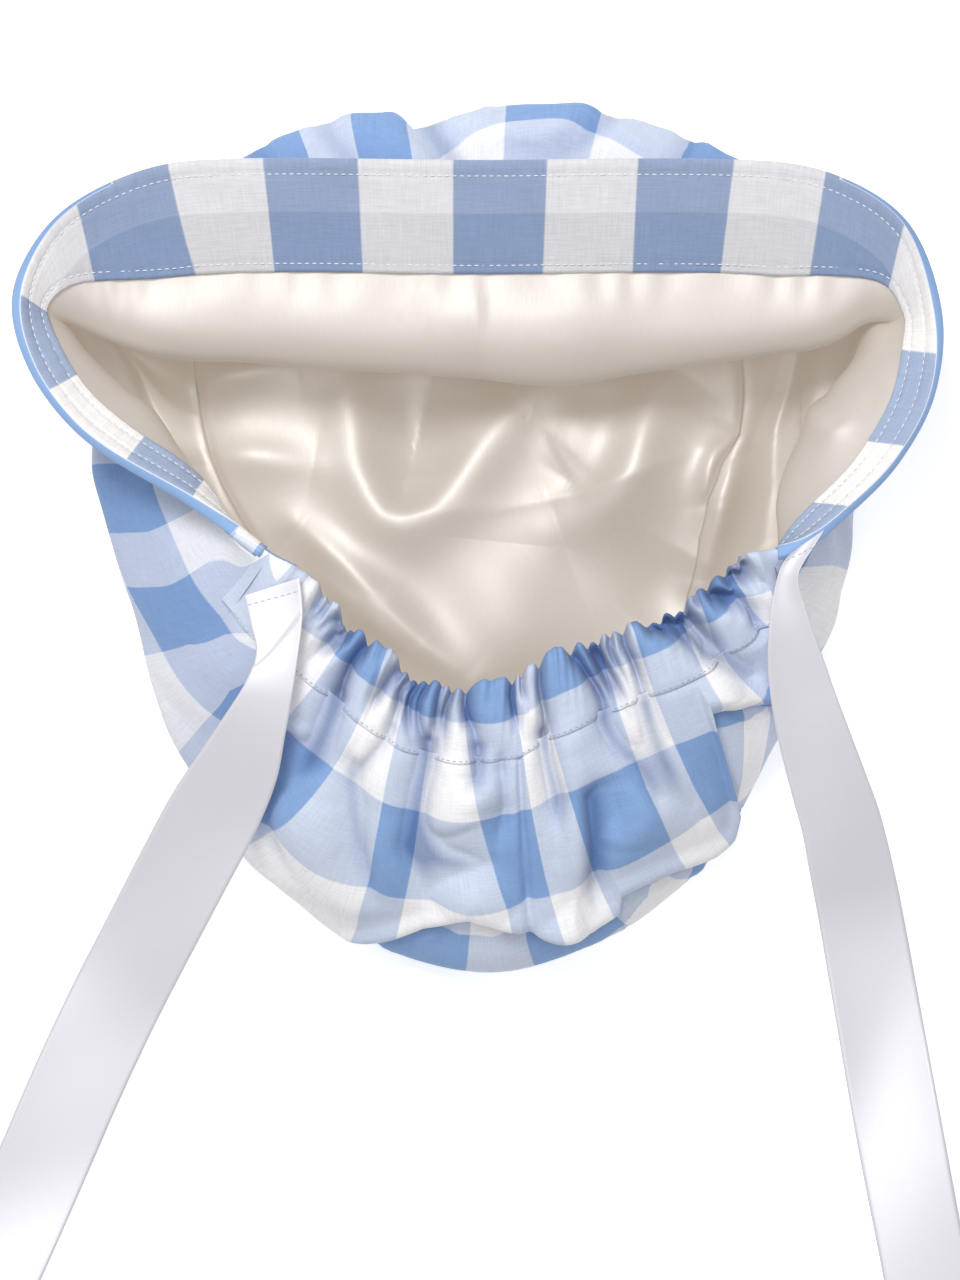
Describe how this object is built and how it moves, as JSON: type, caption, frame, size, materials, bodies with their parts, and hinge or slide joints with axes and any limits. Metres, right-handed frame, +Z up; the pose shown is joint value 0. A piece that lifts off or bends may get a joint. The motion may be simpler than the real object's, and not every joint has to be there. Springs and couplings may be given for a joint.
{
  "type": "scrub cap",
  "caption": "Bouffant scrub cap of checked cotton with a satin lining, a gathered elastic back and ribbon ties, lying on its crown with the mouth up.",
  "frame": {"origin": "middle of the crown's flat underside, on the surface that the cap lies on", "axes": "+Z up out of the mouth, +Y towards the front of the mouth, +X towards the side of ribbon_right"},
  "size_m": [0.2917, 0.345, 0.0545],
  "materials": {
    "gingham": "matt woven cotton in blue and white one-inch checks",
    "satin": "glossy ivory satin",
    "ribbon": "white satin ribbon"
  },
  "bodies": {
    "root": {"side_band": "gingham", "crown_panel": "gingham", "elastic_casing": "gingham", "front_facing": "gingham", "band_lining": "satin", "crown_lining": "satin", "ribbon_left": "ribbon", "ribbon_right": "ribbon"}
  },
  "joints": []
}
